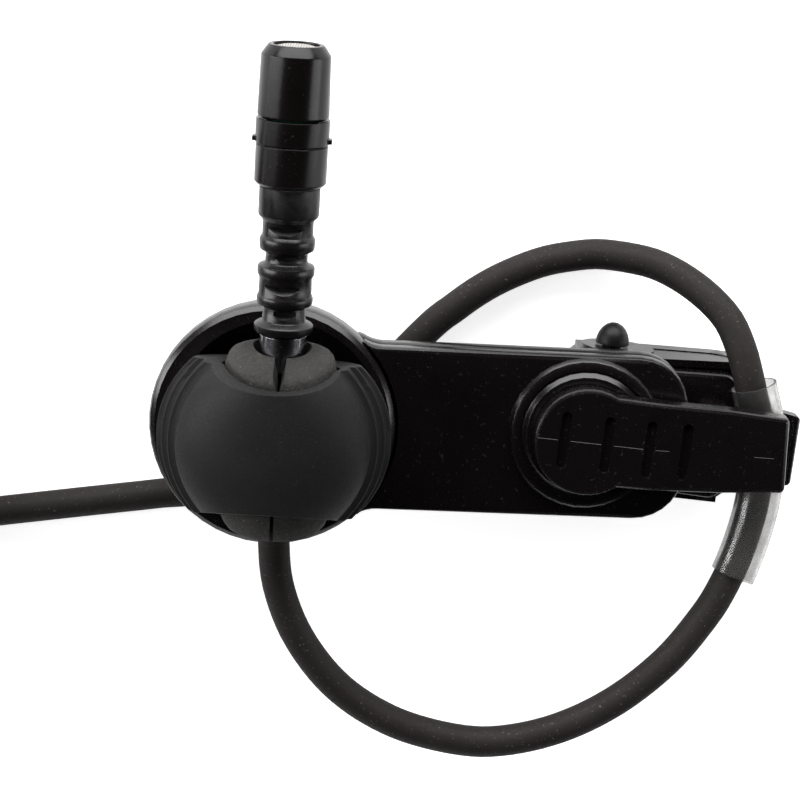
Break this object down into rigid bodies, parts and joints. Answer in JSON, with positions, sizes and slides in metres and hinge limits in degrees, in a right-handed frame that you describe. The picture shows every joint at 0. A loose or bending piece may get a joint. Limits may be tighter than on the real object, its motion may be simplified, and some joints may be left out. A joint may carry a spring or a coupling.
{
  "type": "lavalier microphone",
  "caption": "Small black clip-on microphone with a segmented strain relief in a swivelling ball mount on a sprung tie clip, with its lead looped through the jaws and a locking plug.",
  "frame": {"origin": "on the flat back of the clip's rear jaw, where the arm's swivel axis meets it", "axes": "+Z away from the cloth, towards the wearer's viewer; +X along the clip towards the jaw tips; +Y about the way the microphone points at rest"},
  "size_m": [0.1498, 0.0558, 0.0214],
  "materials": {
    "gloss_black_plastic": "glossy moulded",
    "satin_black_metal": "satin black",
    "matte_black_rubber": "matte",
    "lead_jacket": "matte",
    "clear_sleeve": "clear",
    "dark_chrome": "polished dark",
    "bright_steel": "bright",
    "wire_screen": "fine wire mesh",
    "gold_plate": "gold plated",
    "natural_nylon": "natural",
    "circuit_board": "green laminate"
  },
  "bodies": {
    "clip": {"front_jaw": "gloss_black_plastic", "hinge_pin": "gloss_black_plastic", "torsion_spring": "bright_steel", "swivel_pin": "bright_steel", "rear_washer": "natural_nylon", "front_washer": "natural_nylon", "cable_sleeve": "clear_sleeve", "lead_arm": "lead_jacket", "lead_tail": "lead_jacket", "lead_coil": "lead_jacket", "lead_end": "lead_jacket", "plug_shell": "satin_black_metal", "plug_insert": "gloss_black_plastic", "contact_1": "gold_plate", "contact_2": "gold_plate", "contact_3": "gold_plate", "contact_4": "gold_plate", "latch_spring": "bright_steel", "cable_clamp": "bright_steel", "plug_boot": "matte_black_rubber"},
    "rear_jaw_body": {"rear_jaw": "gloss_black_plastic"},
    "arm": {"arm_back_shell": "gloss_black_plastic", "arm_front_shell": "gloss_black_plastic", "lead_cup": "lead_jacket"},
    "stud": {"ball_stud": "bright_steel", "stud_nut": "bright_steel", "lead_ball": "lead_jacket"},
    "microphone": {"ball": "matte_black_rubber", "grommet_left": "matte_black_rubber", "grommet_right": "matte_black_rubber", "ferrule": "dark_chrome", "strain_relief": "matte_black_rubber", "rear_housing": "satin_black_metal", "coupling_ring": "satin_black_metal", "tip_cap": "satin_black_metal", "grille_screen": "wire_screen", "seal_ring": "matte_black_rubber", "capsule": "wire_screen", "circuit_board": "circuit_board"},
    "latch": {"latch_button": "bright_steel"}
  },
  "joints": [
    {"name": "jaw_hinge", "type": "hinge", "parent": "clip", "child": "rear_jaw_body", "pos_m": [0.0019, 0, 0.0034], "axis": [0, 1, 0], "range_deg": [0, 20], "stiffness_Nm_per_rad": 0.03, "springref_deg": -34.38, "deforming": ["torsion_spring"]},
    {"name": "arm_swivel", "type": "hinge", "parent": "clip", "child": "arm", "pos_m": [0, 0, 0.0081], "axis": [0, 0, 1], "range_deg": [-30, 30], "deforming": ["lead_arm", "lead_cup", "lead_ball"]},
    {"name": "ball_turn", "type": "hinge", "parent": "arm", "child": "stud", "pos_m": [-0.02439, -0.00177, 0.0145], "axis": [0, 0, 1], "range_deg": [-30, 30], "deforming": ["lead_cup", "lead_ball"]},
    {"name": "ball_tilt", "type": "hinge", "parent": "stud", "child": "microphone", "pos_m": [-0.02439, -0.00177, 0.0145], "axis": [0.9986, 0.0532, 0], "range_deg": [-9, 9], "deforming": ["lead_ball"]},
    {"name": "latch_press", "type": "slide", "parent": "clip", "child": "latch", "axis": [0, 0, -1], "range_m": [0, 0.0004], "stiffness_N_per_m": 400, "springref_m": -0.0002, "deforming": ["latch_spring"]}
  ]
}
